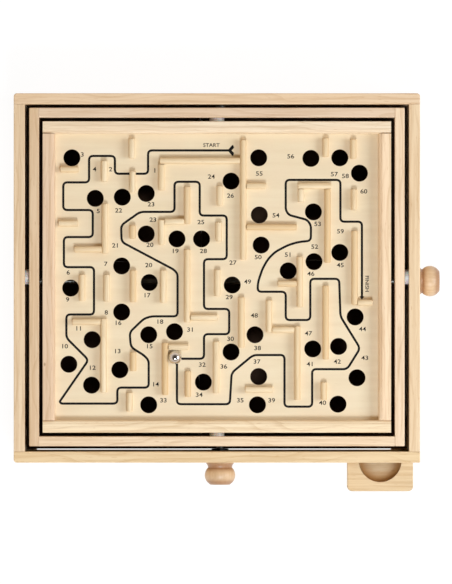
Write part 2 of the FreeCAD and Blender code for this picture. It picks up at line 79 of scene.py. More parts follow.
# ---- camera and light --------------------------------------------------------------------
CAMERA_HEIGHT = 6.3             # above the top of the box
VIEW_LENGTH = 0.4742            # the long side of the picture at that height
CAMERA_RIGHT = 7.4 * MM         # the camera's place from the middle of the box
CAMERA_FRONT = 11.4 * MM
SKY_LOW = 0.85                  # the sky's strength near the horizon, and straight above
SKY_HIGH = 0.08
SKY_RISE = (0.35, 0.9)          # the sines of the heights between which it changes
SKY_COLOUR = (1.0, 0.82, 0.66, 1.0)
LAMP_COLOUR = (0.96, 1.035, 1.13)


def set_camera():
    data = bpy.data.cameras.new("camera")
    data.lens = data.sensor_width * CAMERA_HEIGHT / VIEW_LENGTH
    data.clip_end = 100.0
    camera = bpy.data.objects.new("camera", data)
    camera.location = (BOX_MIDDLE.x + CAMERA_RIGHT, BOX_MIDDLE.y - CAMERA_FRONT,
                       BOX_HIGH.z + CAMERA_HEIGHT)
    bpy.context.scene.collection.objects.link(camera)
    bpy.context.scene.camera = camera


def soft_light(name, bearing, elevation, distance, size, power):
    """A square soft light aimed at the box. A bearing of 0 is the front and 90 the right.

    The angles are in degrees, the distance and size in metres and the power in watts.
    """
    turn = math.radians(bearing)
    rise = math.radians(elevation)
    away = Vector((math.sin(turn) * math.cos(rise), -math.cos(turn) * math.cos(rise),
                   math.sin(rise)))
    data = bpy.data.lights.new(name, "AREA")
    data.shape = "SQUARE"
    data.size = size
    data.energy = power
    data.color = LAMP_COLOUR
    lamp = bpy.data.objects.new(name, data)
    lamp.location = BOX_MIDDLE + away * distance
    lamp.rotation_mode = "QUATERNION"
    lamp.rotation_quaternion = (-away).to_track_quat("-Z", "Y")
    bpy.context.scene.collection.objects.link(lamp)


def set_light():
    soft_light("key_light", bearing=8, elevation=64, distance=2.2, size=0.45, power=22.0)
    soft_light("side_light", bearing=88, elevation=40, distance=2.4, size=1.1, power=26.0)
    world = bpy.data.worlds.new("studio")
    world.use_nodes = True
    tree = world.node_tree
    direction = tree.nodes.new("ShaderNodeTexCoord").outputs["Generated"]
    height = add(tree, "SeparateXYZ", Vector=direction).outputs["Z"]
    sky = remap(tree, height, *SKY_RISE, SKY_LOW, SKY_HIGH)
    tree.nodes["Background"].inputs["Color"].default_value = SKY_COLOUR
    tree.links.new(sky, tree.nodes["Background"].inputs["Strength"])
    bpy.context.scene.world = world
    bpy.context.scene.view_settings.view_transform = "Standard"


# ---- nodes for the materials -------------------------------------------------------------
def srgb(red, green, blue):
    """A colour on the 0 to 255 scale, as the linear values that a shader takes."""
    linear = [((c / 255 + 0.055) / 1.055) ** 2.4 if c > 10 else c / 255 / 12.92
              for c in (red, green, blue)]
    return (*linear, 1.0)


def shade(colour, *factors):
    """A linear colour with its red, green and blue each multiplied by a factor."""
    return tuple(min(1.0, c * f) for c, f in zip(colour, factors)) + (1.0,)


def new_material(name):
    material = bpy.data.materials.new(name)
    material.use_nodes = True
    return material, material.node_tree, material.node_tree.nodes["Principled BSDF"]


def add(tree, kind, settings=None, **inputs):
    """Add a shader node. Each keyword names an input and gives its value or its link."""
    made = tree.nodes.new("ShaderNode" + kind)
    for name, value in (settings or {}).items():
        setattr(made, name, value)
    for name, value in inputs.items():
        connect(tree, made.inputs[name.replace("_", " ")], value)
    return made


def connect(tree, socket, value):
    if isinstance(value, bpy.types.NodeSocket):
        tree.links.new(value, socket)
    else:
        socket.default_value = value


def calc(tree, operation, first, second=0.0):
    made = tree.nodes.new("ShaderNodeMath")
    made.operation = operation
    connect(tree, made.inputs[0], first)
    connect(tree, made.inputs[1], second)
    return made.outputs[0]


def vector_calc(tree, operation, first, second):
    made = tree.nodes.new("ShaderNodeVectorMath")
    made.operation = operation
    connect(tree, made.inputs[0], first)
    connect(tree, made.inputs[1], second)
    return made.outputs["Value" if operation in ("DOT_PRODUCT", "DISTANCE") else "Vector"]


def mix(tree, factor, first, second):
    """Mix two colours."""
    made = tree.nodes.new("ShaderNodeMix")
    made.data_type = "RGBA"
    connect(tree, made.inputs[0], factor)
    connect(tree, made.inputs[6], first)
    connect(tree, made.inputs[7], second)
    return made.outputs[2]


def remap(tree, value, low, high, to_low=0.0, to_high=1.0):
    """Turn the range from low to high into another one, with soft ends."""
    made = add(tree, "MapRange", {"interpolation_type": "SMOOTHSTEP"}, Value=value, From_Min=low,
               From_Max=high, To_Min=to_low, To_Max=to_high)
    return made.outputs["Result"]


def noise(tree, place, detail=2.0, roughness=0.5):
    """Soft noise from 0 to 1, one blob to each unit of `place`."""
    made = add(tree, "TexNoise", Vector=place, Scale=1.0, Detail=detail, Roughness=roughness)
    return made.outputs["Fac"]


def weighted(tree, *pairs):
    """The sum of (value, weight) pairs."""
    total = 0.0
    for value, weight in pairs:
        total = calc(tree, "ADD", calc(tree, "MULTIPLY", value, weight), total)
    return total


def stained(tree, colour, where, strength, stain):
    """A colour mixed towards a stain, by `strength` where `where` is 1."""
    return mix(tree, calc(tree, "MULTIPLY", where, strength), colour, stain)


def surface(tree, shader, colour, roughness, specular=None):
    """Set the colour and the roughness, and how strong the reflections are if that is given."""
    tree.links.new(colour, shader.inputs["Base Color"])
    tree.links.new(roughness, shader.inputs["Roughness"])
    if specular is not None:
        shader.inputs["Specular IOR Level"].default_value = specular


def bump(tree, shader, height, depth_mm, strength):
    """Let a height from 0 to 1 rough up the surface."""
    made = add(tree, "Bump", Height=height, Strength=strength, Distance=depth_mm * MM)
    tree.links.new(made.outputs["Normal"], shader.inputs["Normal"])


# ---- wood --------------------------------------------------------------------------------
ALONG_X = (0.0, 0.0, 0.0)
ALONG_Y = (0.0, 0.0, -math.pi / 2)
GRAIN_AXIS = {ALONG_X: (1.0, 0.0, 0.0), ALONG_Y: (0.0, 1.0, 0.0)}
SEED_STEP = (173.0, 61.0, 37.0)         # mm between the boards of two seeds
PITH_ACROSS = 25.0                      # the pith from the board's own zero, in mm
PITH_BELOW = 70.0
RING_SPACING = 4.6
RING_WANDER = 30.0
KNOB_RING_SPACING = 3.6
KNOB_RING_WANDER = 9.0
TURNING_PITCH = 0.55                    # between two marks of the turner's chisel
PLY_LAYER = 1.33                        # thickness of one layer of plywood
TINT_SHIFT = 400.0                      # moves the figure from strip to strip
WOOD_SPECULAR = 0.35


def grain_place(tree, grain, seed):
    """Millimetres in the board that the piece was cut from, with the grain along X."""
    coordinates = tree.nodes.new("ShaderNodeTexCoord")
    offset = tuple(seed * step for step in SEED_STEP)
    placed = add(tree, "Mapping", Vector=coordinates.outputs["Object"], Location=offset,
                 Rotation=grain, Scale=(1 / MM, 1 / MM, 1 / MM))
    return placed.outputs["Vector"], coordinates.outputs["Normal"]


def stretched(tree, place, along, across):
    """Coordinates whose unit is `along` mm with the grain and `across` mm over it."""
    return vector_calc(tree, "MULTIPLY", place, (1 / along, 1 / across, 1 / across))


def facing(tree, normal, axis):
    """1 where a face looks along the axis, either way, and 0 where it looks square to it."""
    return calc(tree, "ABSOLUTE", vector_calc(tree, "DOT_PRODUCT", normal, axis))


def growth_rings(tree, place, spacing, wander):
    """Growth lines round a pith that lies under the piece, wavy along the grain. In mm."""
    parts = add(tree, "SeparateXYZ", Vector=place)
    across = calc(tree, "SUBTRACT", parts.outputs["Y"], PITH_ACROSS)
    below = calc(tree, "ADD", parts.outputs["Z"], PITH_BELOW)
    radius = calc(tree, "SQRT", calc(tree, "ADD", calc(tree, "POWER", across, 2.0),
                                     calc(tree, "POWER", below, 2.0)))
    wavy = weighted(tree, (radius, 1 / spacing),
                    (noise(tree, stretched(tree, place, 120.0, 30.0)), wander / spacing))
    return remap(tree, calc(tree, "FRACT", wavy), 0.6, 0.98)


def pin_knots(tree, place):
    """1 in a few tiny dark knots, and 0 elsewhere."""
    cells = add(tree, "TexVoronoi", Vector=stretched(tree, place, 46.0, 24.0), Scale=1.0)
    return remap(tree, cells.outputs["Distance"], 0.02, 0.05, 1.0, 0.0)


def wood(name, tone, grain, seed, contrast=1.0, flecks=0.6, rings=0.25, tint=None, painted_shade_mask=None):
    """Pale, lightly lacquered wood: streaks, rings, fibres, flecks, mottling and end grain.

    `contrast`, `flecks` and `rings` say how strongly the dark streaks, the flecks and the growth rings show.
    `tint` gives each separate solid its own warmth, and the last argument is a mask of painted shade: where
    it is 1 the wood is painted darker, as if in shade.
    """
    material, tree, shader = new_material(name)
    place, normal = grain_place(tree, grain, seed)
    if tint:
        place = vector_calc(tree, "ADD", place, calc(tree, "MULTIPLY", tint(tree), TINT_SHIFT))
    streak = remap(tree, noise(tree, stretched(tree, place, 70.0, 2.4), 4.0, 0.6), 0.3, 0.7)
    fibre = noise(tree, stretched(tree, place, 8.0, 0.3), 2.0, 0.6)
    ring = growth_rings(tree, place, RING_SPACING, RING_WANDER)
    mottle = remap(tree, noise(tree, stretched(tree, place, 55.0, 14.0), 1.0), 0.3, 0.7)
    fleck = remap(tree, noise(tree, stretched(tree, place, 7.0, 0.7), 1.0), 0.66, 0.78)
    light = shade(tone, 1.05, 1.06, 1.08)
    dark = shade(tone, 1 - 0.17 * contrast, 1 - 0.25 * contrast, 1 - 0.34 * contrast)
    depth = weighted(tree, (streak, 0.5), (ring, rings), (fibre, 0.35))
    colour = mix(tree, remap(tree, depth, 0.15, 0.95), light, dark)
    colour = stained(tree, colour, mottle, 0.35, shade(tone, 1.02, 0.96, 0.90))
    colour = stained(tree, colour, fleck, flecks, shade(tone, 0.72, 0.56, 0.40))
    colour = stained(tree, colour, pin_knots(tree, place), 0.7, shade(tone, 0.42, 0.30, 0.20))
    # painted shade: where the mask is 1 the wood is made darker, as if shaded
    if painted_shade_mask:
        colour = mix(tree, painted_shade_mask(tree), colour, shade(tone, 0.55, 0.36, 0.2))
    if tint:
        warmth = calc(tree, "POWER", tint(tree), 1.5)
        colour = stained(tree, colour, warmth, 0.95, shade(tone, 0.86, 0.72, 0.55))
    end_grain = remap(tree, facing(tree, normal, GRAIN_AXIS[grain]), 0.6, 0.95)
    colour = stained(tree, colour, end_grain, 0.55, shade(tone, 0.74, 0.66, 0.56))
    rough = remap(tree, weighted(tree, (fibre, 0.6), (streak, 0.4)), 0.2, 0.8, 0.46, 0.62)
    surface(tree, shader, colour, rough, WOOD_SPECULAR)
    bump(tree, shader, weighted(tree, (fibre, 0.7), (ring, 0.3), (fleck, -0.5)), 0.05, 0.45)
    return material


def strip_tone(tree):
    """The number from 0 to 1 that each barrier strip carries."""
    return add(tree, "Attribute", {"attribute_name": "tone"}).outputs["Fac"]


DISH_R = 17.5 * MM
DISH_BLEND = 0.5 * MM                   # the painted shade fades out over this, past the dish's edge
SHADE_FROM_R = 5.0 * MM                  # the painted shade grows from its least strength here to its full strength at the edge
SHADE_LEAST = 0.25
SHADE_FULL = 1.2 * MM                    # how far under the tray's top the painted shade has its full strength, and how far under it there is none
SHADE_NONE = 0.3 * MM                    # strength, and how far under it there is none


def in_dish(tree):
    """Painted shade in the tray's dish: 1 round the dish's edge, less towards its middle, and 0 outside the
    dish.
    """
    low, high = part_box("ball_tray")
    place = tree.nodes.new("ShaderNodeTexCoord").outputs["Object"]
    flat = vector_calc(tree, "MULTIPLY", place, (1.0, 1.0, 0.0))
    away = vector_calc(tree, "DISTANCE", flat, ((low.x + high.x) / 2, high.y, 0.0))
    height = add(tree, "SeparateXYZ", Vector=place).outputs["Z"]
    rise = remap(tree, away, SHADE_FROM_R, DISH_R - DISH_BLEND, SHADE_LEAST, 1.0)
    within = remap(tree, away, DISH_R, DISH_R + DISH_BLEND, 1.0, 0.0)
    below = remap(tree, height, high.z - SHADE_FULL, high.z - SHADE_NONE, 1.0, 0.0)
    return calc(tree, "MULTIPLY", calc(tree, "MULTIPLY", rise, within), below)


def plywood(name, tone, seed, top_z):
    """Birch plywood: faint figure on its faces and dark and light layers on its edges."""
    material, tree, shader = new_material(name)
    place, normal = grain_place(tree, ALONG_X, seed)
    figure = remap(tree, noise(tree, stretched(tree, place, 60.0, 7.0), 3.0, 0.55), 0.3, 0.7)
    cloud = remap(tree, noise(tree, stretched(tree, place, 30.0, 22.0), 2.0), 0.35, 0.7)
    fibre = noise(tree, stretched(tree, place, 5.0, 0.35), 2.0, 0.6)
    pore = remap(tree, noise(tree, stretched(tree, place, 3.0, 0.5), 1.0), 0.68, 0.8)
    colour = mix(tree, weighted(tree, (figure, 0.6), (fibre, 0.4)),
                 shade(tone, 1.03, 1.04, 1.05), shade(tone, 0.94, 0.91, 0.87))
    colour = stained(tree, colour, cloud, 0.4, shade(tone, 0.99, 0.93, 0.92))
    colour = stained(tree, colour, pore, 0.22, shade(tone, 0.75, 0.62, 0.48))
    height = add(tree, "SeparateXYZ", Vector=place).outputs["Z"]
    down = calc(tree, "SUBTRACT", top_z / MM + seed * SEED_STEP[2], height)
    layer = calc(tree, "PINGPONG", calc(tree, "DIVIDE", down, PLY_LAYER), 1.0)
    edge_colour = mix(tree, remap(tree, layer, 0.4, 0.6), shade(tone, 0.90, 0.84, 0.76),
                      shade(tone, 0.62, 0.50, 0.38))
    flat = remap(tree, facing(tree, normal, (0.0, 0.0, 1.0)), 0.3, 0.7)
    colour = mix(tree, flat, edge_colour, colour)
    surface(tree, shader, colour, remap(tree, fibre, 0.2, 0.8, 0.42, 0.58), WOOD_SPECULAR)
    bump(tree, shader, weighted(tree, (fibre, 0.8), (pore, -0.6)), 0.04, 0.35)
    return material


def hardboard(name, tone):
    """Smooth brown hardboard: pressed fibres with no grain direction."""
    material, tree, shader = new_material(name)
    place = object_place(tree)
    fibre = noise(tree, grains(tree, place, 0.8), 4.0, 0.7)
    cloud = noise(tree, grains(tree, place, 18.0), 2.0)
    colour = mix(tree, weighted(tree, (fibre, 0.6), (cloud, 0.4)), shade(tone, 1.3, 1.3, 1.35),
                 shade(tone, 0.7, 0.66, 0.6))
    surface(tree, shader, colour, remap(tree, fibre, 0.2, 0.8, 0.6, 0.8), 0.15)
    bump(tree, shader, fibre, 0.05, 0.4)
    return material


def wear(tree):
    """How far a knob is painted out of shade: 0 in its waist, which is painted in shade, and 1 on its collar
    and barrel.
    """
    return add(tree, "Attribute", {"attribute_name": "wear"}).outputs["Fac"]


def turned_wood(name, tone, grain, seed):
    """The knobs' darker wood, with fine turning marks round it and painted shade in the waist."""
    material, tree, shader = new_material(name)
    place, normal = grain_place(tree, grain, seed)
    streak = remap(tree, noise(tree, stretched(tree, place, 26.0, 1.6), 4.0, 0.6), 0.3, 0.7)
    fibre = noise(tree, stretched(tree, place, 5.0, 0.25), 2.0, 0.6)
    ring = growth_rings(tree, place, KNOB_RING_SPACING, KNOB_RING_WANDER)
    along = add(tree, "SeparateXYZ", Vector=place).outputs["X"]
    mark = calc(tree, "SINE", calc(tree, "MULTIPLY", along, 2 * math.pi / TURNING_PITCH))
    depth = weighted(tree, (streak, 0.4), (ring, 0.12), (fibre, 0.3))
    # painted shade: the waist gets darker colours, the collar and barrel lighter ones
    light = mix(tree, wear(tree), shade(tone, 0.68, 0.53, 0.44), shade(tone, 1.1, 1.13, 1.18))
    dark = mix(tree, wear(tree), shade(tone, 0.54, 0.38, 0.29), shade(tone, 0.84, 0.77, 0.68))
    colour = mix(tree, depth, light, dark)
    end_grain = remap(tree, facing(tree, normal, GRAIN_AXIS[grain]), 0.7, 0.98)
    colour = stained(tree, colour, end_grain, 0.4, shade(tone, 0.76, 0.66, 0.55))
    surface(tree, shader, colour, remap(tree, fibre, 0.2, 0.8, 0.36, 0.5))
    shader.inputs["Coat Weight"].default_value = 0.3
    shader.inputs["Coat Roughness"].default_value = 0.4
    bump(tree, shader, weighted(tree, (mark, 0.25), (fibre, 0.6)), 0.05, 0.4)
    return material


# ---- other materials ---------------------------------------------------------------------
def object_place(tree):
    """Millimetres on the piece."""
    coordinates = tree.nodes.new("ShaderNodeTexCoord")
    return vector_calc(tree, "MULTIPLY", coordinates.outputs["Object"], (1 / MM, 1 / MM, 1 / MM))


def grains(tree, place, size):
    """Coordinates whose unit is `size` mm each way."""
    return vector_calc(tree, "DIVIDE", place, (size, size, size))


def metal(name, tone, rough_low, rough_high, brushed):
    """Steel with fine scratches. `brushed` says how many mm a scratch runs along each axis."""
    material, tree, shader = new_material(name)
    place = object_place(tree)
    scratch = noise(tree, vector_calc(tree, "DIVIDE", place, brushed), 3.0, 0.65)
    stain = remap(tree, noise(tree, grains(tree, place, 9.0), 2.0), 0.35, 0.75)
    colour = mix(tree, weighted(tree, (scratch, 0.5), (stain, 0.4)), tone,
                 shade(tone, 0.72, 0.70, 0.67))
    worn = weighted(tree, (scratch, 0.6), (stain, 0.4))
    surface(tree, shader, colour, remap(tree, worn, 0.25, 0.75, rough_low, rough_high))
    shader.inputs["Metallic"].default_value = 1.0
    bump(tree, shader, scratch, 0.01, 0.3)
    return material


def nylon_material():
    material, tree, shader = new_material("nylon")
    place = object_place(tree)
    cloud = noise(tree, grains(tree, place, 2.5), 3.0)
    colour = mix(tree, cloud, srgb(248, 249, 250), srgb(236, 237, 238))
    surface(tree, shader, colour, remap(tree, cloud, 0.3, 0.7, 0.3, 0.42))
    shader.inputs["Subsurface Weight"].default_value = 0.15
    shader.inputs["Subsurface Scale"].default_value = 0.5 * MM
    bump(tree, shader, cloud, 0.02, 0.25)
    return material


def cord_material():
    material, tree, shader = new_material("cord")
    place = object_place(tree)
    fuzz = noise(tree, grains(tree, place, 0.25), 3.0, 0.7)
    rubbed = remap(tree, noise(tree, grains(tree, place, 14.0), 2.0), 0.4, 0.7)
    colour = mix(tree, fuzz, srgb(112, 106, 98), srgb(74, 69, 62))
    colour = stained(tree, colour, rubbed, 0.4, srgb(136, 128, 116))
    surface(tree, shader, colour, remap(tree, fuzz, 0.2, 0.8, 0.72, 0.9))
    shader.inputs["Sheen Weight"].default_value = 0.3
    bump(tree, shader, fuzz, 0.05, 0.6)
    return material


def ink_material():
    """Screen printed ink, a little thin in places."""
    material, tree, shader = new_material("print_ink")
    place = object_place(tree)
    cover = noise(tree, grains(tree, place, 0.6), 2.0)
    thin = remap(tree, noise(tree, grains(tree, place, 9.0), 3.0, 0.6), 0.62, 0.78)
    colour = mix(tree, cover, srgb(13, 11, 10), srgb(27, 24, 21))
    colour = stained(tree, colour, thin, 0.5, srgb(78, 68, 56))
    surface(tree, shader, colour, remap(tree, cover, 0.3, 0.7, 0.5, 0.7), 0.15)
    bump(tree, shader, cover, 0.01, 0.3)
    return material


def ball_material():
    """Polished steel with faint scuffs."""
    material, tree, shader = new_material("ball_steel")
    place = object_place(tree)
    scratch = noise(tree, vector_calc(tree, "DIVIDE", place, (3.0, 0.3, 3.0)), 3.0, 0.7)
    scuff = remap(tree, scratch, 0.5, 0.75)
    colour = mix(tree, scuff, srgb(222, 222, 224), srgb(188, 188, 192))
    surface(tree, shader, colour, remap(tree, scuff, 0.0, 1.0, 0.05, 0.16))
    shader.inputs["Metallic"].default_value = 1.0
    return material


def floor_material():
    """A pale studio sweep, bright enough to read as white."""
    material, tree, shader = new_material("studio_floor")
    cloud = noise(tree, grains(tree, object_place(tree), 25.0))
    colour = mix(tree, cloud, srgb(96, 96, 96), srgb(90, 90, 90))
    tree.links.new(colour, shader.inputs["Base Color"])
    shader.inputs["Roughness"].default_value = 0.8
    shader.inputs["Specular IOR Level"].default_value = 0.1
    shader.inputs["Emission Color"].default_value = (1.0, 1.0, 1.0, 1.0)
    shader.inputs["Emission Strength"].default_value = 0.93
    return material


# ---- meshes ------------------------------------------------------------------------------
def loft(bm, rings):
    """Skin a row of rings of points and cap both ends. Returns the new vertices."""
    rows = [[bm.verts.new(point) for point in ring] for ring in rings]
    for row, following in zip(rows, rows[1:]):
        for i in range(len(row)):
            j = (i + 1) % len(row)
            bm.faces.new((row[i], row[j], following[j], following[i]))
    bm.faces.new(rows[0][::-1])
    bm.faces.new(rows[-1])
    return [vertex for row in rows for vertex in row]


SHARP_DEG = 35.0                # an edge that turns more than this stays sharp


def make_piece(name, bm, materials):
    """Turn a filled bmesh into an object with smooth shading and sharp corners kept."""
    bmesh.ops.recalc_face_normals(bm, faces=bm.faces)
    mesh = bpy.data.meshes.new(name)
    bm.to_mesh(mesh)
    bm.free()
    mesh.polygons.foreach_set("use_smooth", [True] * len(mesh.polygons))
    mesh.set_sharp_from_angle(angle=math.radians(SHARP_DEG))
    for material in materials:
        mesh.materials.append(material)
    piece = bpy.data.objects.new(name, mesh)
    bpy.context.scene.collection.objects.link(piece)
    return piece


def frames_along(path):
    """For each point of a path, the point and two directions square to the path."""
    side = None
    rows = []
    for i, point in enumerate(path):
        ahead = path[min(i + 1, len(path) - 1)] - path[max(i - 1, 0)]
        ahead.normalize()
        if side is None:
            side = ahead.orthogonal()
        side = (side - ahead * side.dot(ahead)).normalized()
        rows.append((point, side, ahead.cross(side)))
    return rows


def circle(centre, side, up, radius, count):
    """Points round a circle that lies in the plane of two directions."""
    angles = [2 * math.pi * k / count for k in range(count)]
    return [centre + (side * math.cos(a) + up * math.sin(a)) * radius for a in angles]


def tube(bm, path, radius, sides):
    """A round tube along a path."""
    loft(bm, [circle(point, side, up, radius, sides) for point, side, up in frames_along(path)])


CORD_LAY = 2.6 * MM             # how far a cord runs in one twist of its two plies
CORD_STEP = 0.32 * MM
CORD_SIDES = 10
CORD_LOBE = 0.18                # depth of the groove between the plies, over the radius
KNOT_WIDTH = 0.7 * MM


def twisted_cord(bm, path, radius, knots=()):
    """Two plies twisted together along a path whose points are CORD_STEP apart.

    `knots` are distances from the path's end where the cord swells into a knot.
    """
    rings = []
    for i, (point, side, up) in enumerate(frames_along(path)):
        from_end = (len(path) - 1 - i) * CORD_STEP
        swell = sum(math.exp(-((from_end - knot) / KNOT_WIDTH) ** 2) for knot in knots)
        twist = 2 * math.pi * i * CORD_STEP / CORD_LAY
        ring = []
        for k in range(CORD_SIDES):
            angle = 2 * math.pi * k / CORD_SIDES
            lobe = 1 - CORD_LOBE + CORD_LOBE * math.cos(2 * (angle - twist))
            outward = side * math.cos(angle) + up * math.sin(angle)
            ring.append(point + outward * radius * lobe * (1 + swell))
        rings.append(ring)
    loft(bm, rings)


def line_points(start, end):
    """Points along a straight cord."""
    count = round((end - start).length / CORD_STEP)
    return [start.lerp(end, i / count) for i in range(count + 1)]


# ---- barrier strips ----------------------------------------------------------------------
STRIP_ROUND = 2.4 * MM          # of a strip's two long top edges
STRIP_CROWN = 0.1 * MM          # half of the flat left between them
STRIP_END = 0.7 * MM            # rounding of its ends
ARC_STEPS = 8
END_STEPS = 3


def loose_boxes(node):
    """The lowest and highest corner of each separate solid in a CAD node.

    Where two solids touch, the faces of both meet at one edge, so the search from face to
    face crosses only the edges that have two faces.
    """
    bm = bmesh.new()
    bm.from_mesh(NODES[node].data)
    bmesh.ops.remove_doubles(bm, verts=bm.verts, dist=1e-6)
    boxes = []
    seen = set()
    for first in bm.faces:
        if first in seen:
            continue
        seen.add(first)
        group = [first]
        for face in group:
            inner_edges = [edge for edge in face.edges if len(edge.link_faces) == 2]
            for other in (neighbour for edge in inner_edges for neighbour in edge.link_faces):
                if other not in seen:
                    seen.add(other)
                    group.append(other)
        corners = [vertex.co for face in group for vertex in face.verts]
        low = Vector([min(corner[i] for corner in corners) for i in range(3)])
        high = Vector([max(corner[i] for corner in corners) for i in range(3)])
        boxes.append((low, high))
    bm.free()
    return sorted(boxes, key=lambda corners: tuple(corners[0]))


def strip_profile(half_width, height):
    """A strip's section: square at the bottom, with round top edges, as (across, up)."""
    r = min(STRIP_ROUND, half_width - STRIP_CROWN)
    points = [(-half_width, 0.0), (half_width, 0.0)]
    for side in (1, -1):
        for i in range(ARC_STEPS + 1):
            angle = math.pi / 2 * (i if side > 0 else ARC_STEPS - i) / ARC_STEPS
            across = half_width - r + r * math.cos(angle)
            points.append((side * across, height - r + r * math.sin(angle)))
    return points


def barrier_strip(bm, low, high, tone):
    """One strip, with softened ends, in the space of its CAD solid.

    `tone` gives the strip its own warmth. Its material slot is 0 if it runs left to right and
    1 if it runs front to back.
    """
    along = 0 if high.x - low.x > high.y - low.y else 1
    across = 1 - along
    length = high[along] - low[along]
    half_width = (high[across] - low[across]) / 2
    centre = (high[across] + low[across]) / 2
    ends = [(STRIP_END * (1 - math.cos(a)), STRIP_END * (1 - math.sin(a)))
            for a in (math.pi / 2 * i / END_STEPS for i in range(END_STEPS + 1))]
    stations = ends + [(length - s, inset) for s, inset in reversed(ends)]
    rings = []
    for s, inset in stations:
        ring = []
        for u, v in strip_profile(half_width - inset, high.z - low.z - inset):
            point = Vector((0, 0, low.z + v))
            point[along] = low[along] + s
            point[across] = centre + u
            ring.append(point)
        rings.append(ring)
    layer = bm.verts.layers.float["tone"]
    faces_before = len(bm.faces)
    for vertex in loft(bm, rings):
        vertex[layer] = tone
    bm.faces.ensure_lookup_table()
    for face in bm.faces[faces_before:]:
        face.material_index = along


def make_barriers():
    tone = srgb(237, 219, 183)
    materials = [wood("strip_wood_x", tone, ALONG_X, 3, contrast=0.8, flecks=0.3, tint=strip_tone),
                 wood("strip_wood_y", tone, ALONG_Y, 4, contrast=0.8, flecks=0.3, tint=strip_tone)]
    draws = random.Random(7)
    for node in sorted(name for name in NODES if name.startswith("barriers_")):
        bm = bmesh.new()
        bm.verts.layers.float.new("tone")
        for low, high in loose_boxes(node):
            barrier_strip(bm, low, high, draws.random())
        piece = make_piece(node.replace("barriers", "strips"), bm, materials)
        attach(piece, "maze_board")
        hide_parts(node)


# ---- printing on the board ---------------------------------------------------------------
INK_T = 0.03 * MM
INK_Z = PANEL_TOP - 0.01 * MM
MARK_Z = PANEL_TOP              # of the fork and the arrow, a little above the route's line
LINE_W = 1.85 * MM
LINE_CORNER = 3.4               # in mm, as are the letters' heights
CORNER_SHARE = 0.48             # the longest share of a side that a corner's curve takes up
CORNER_STEPS = 5
NUMBER_H = 3.6
WORD_H = 3.0
NUMBER_WIDEN = 1.2
WORD_WIDEN = 1.12
LETTER_BOLD = 0.06              # added to the strokes' sides, in mm
CAP_SHARE = 0.73                # a capital's height over the font's size

# The way through the maze, (x, y) mm from the middle of the board, from start to finish.
ROUTE = [
    (11, 103), (-56, 103), (-56, 84), (-83, 84), (-83, 98.5), (-104, 98.5), (-104, 77),
    (-125, 77), (-125, 54.5), (-101, 54.5), (-101, 32.5), (-124.5, 32.5), (-124.5, 8), (-100, 8),
    (-100, -30.5), (-122.5, -30.5), (-122.5, -49.5), (-104.5, -67.5), (-128, -101.5),
    (-126.5, -103), (-81, -103), (-81, -90), (-55.5, -90), (-55.5, -68), (-59, -64), (-70, -57),
    (-71, -45), (-59.5, -34), (-53.5, -32), (-32, -32), (-32, 2.5), (-35, 6), (-77.5, 28.5),
    (-78, 42), (-62.5, 53), (-34.5, 53), (-34.5, 77.5), (-14, 77.5), (-14, 50), (8, 50),
    (8, 14.5), (-10.5, 14.5), (-10.5, -26), (10, -26), (10, -46.5), (-10.5, -46.5),
    (-10.5, -66.5), (-32.5, -66.5), (-32.5, -103.5), (10.5, -103.5), (12, -78), (29.5, -63.5),
    (55, -63.5), (55, -105.5), (77.5, -105.5), (77.5, -75), (106, -75), (116.5, -58),
    (100.5, -32), (99.5, -1.5), (76, -1.5), (76, -35), (56, -35), (56, -12), (33, -12),
    (33.5, -4), (37, 6.5), (41.5, 14.5), (47.5, 20.5), (58, 26), (66.5, 28.5), (76.5, 29.5),
    (76.5, 42), (73.5, 46.5), (58.5, 50.5), (56, 54.5), (56, 79), (100.5, 79), (100.5, 45),
    (118, 45), (118, -16),
]
# The two arms of the fork at the start, and the arrow at the finish.
ROUTE_ENDS = [
    [(8.5, 102.8), (11.7, 102.8), (14.0, 105.1), (13.2, 107.6), (12.3, 107.2)],
    [(8.5, 103.2), (11.7, 103.2), (14.0, 100.9), (13.2, 98.4), (12.3, 98.8)],
    [(118, -18.5), (116, -15.7), (120, -15.7)],
]
WORDS = [("START", -4.5, 107.2, 0.0), ("FINISH", 122, -5.5, -math.pi / 2)]

# The numbers beside the holes, in order along the route, (number, x, y).
NUMBERS = [
    (1, -50.5, 86.5), (2, -86.5, 87.5), (3, -109.5, 99.5), (4, -99.5, 87.5), (5, -96.5, 53.5),
    (6, -121, 3.5), (7, -90.5, 10.5), (8, -90, -29), (9, -121.5, -18.5), (10, -124, -56.5),
    (11, -112.5, -42), (12, -101.5, -74), (13, -81, -60.5), (14, -50, -87.5), (15, -55, -56.5),
    (16, -80.5, -37.5), (17, -57, -15), (18, -46.5, -36.5), (19, -34, 21), (20, -54.5, 26),
    (20, -55.5, 9.5), (21, -82.5, 25.5), (22, -80, 54), (23, -53.5, 59), (23, -52, 46.5),
    (24, -4.5, 81.5), (25, -13, 44.5), (26, 11, 66), (27, 13, 11.5), (28, -11, 21),
    (29, 10, -16.5), (30, 11, -50.5), (31, -21.5, -43), (32, -12, -71.5), (33, -43.5, -100.5),
    (34, -14.5, -96), (35, 19, -100.5), (36, 5.5, -73), (37, 32.5, -69), (38, 33, -58),
    (39, 44.5, -100.5), (40, 86, -102.5), (41, 76, -71), (42, 98, -69), (43, 120.5, -66),
    (44, 118.5, -42.5), (45, 100.5, 9.5), (46, 76.5, 2.5), (47, 74.5, -46), (48, 30.5, -31.5),
    (49, 25, -4), (50, 33.5, 16), (51, 58, 18), (52, 79.5, 24.5), (53, 82, 43), (54, 48, 50),
    (55, 34.5, 84), (56, 60, 98), (57, 95.5, 83.5), (58, 104.5, 82), (59, 100.5, 37),
    (60, 119.5, 69.5),
]


def on_board(x, y, z):
    return Vector((PANEL.x + x * MM, PANEL.y + y * MM, z))


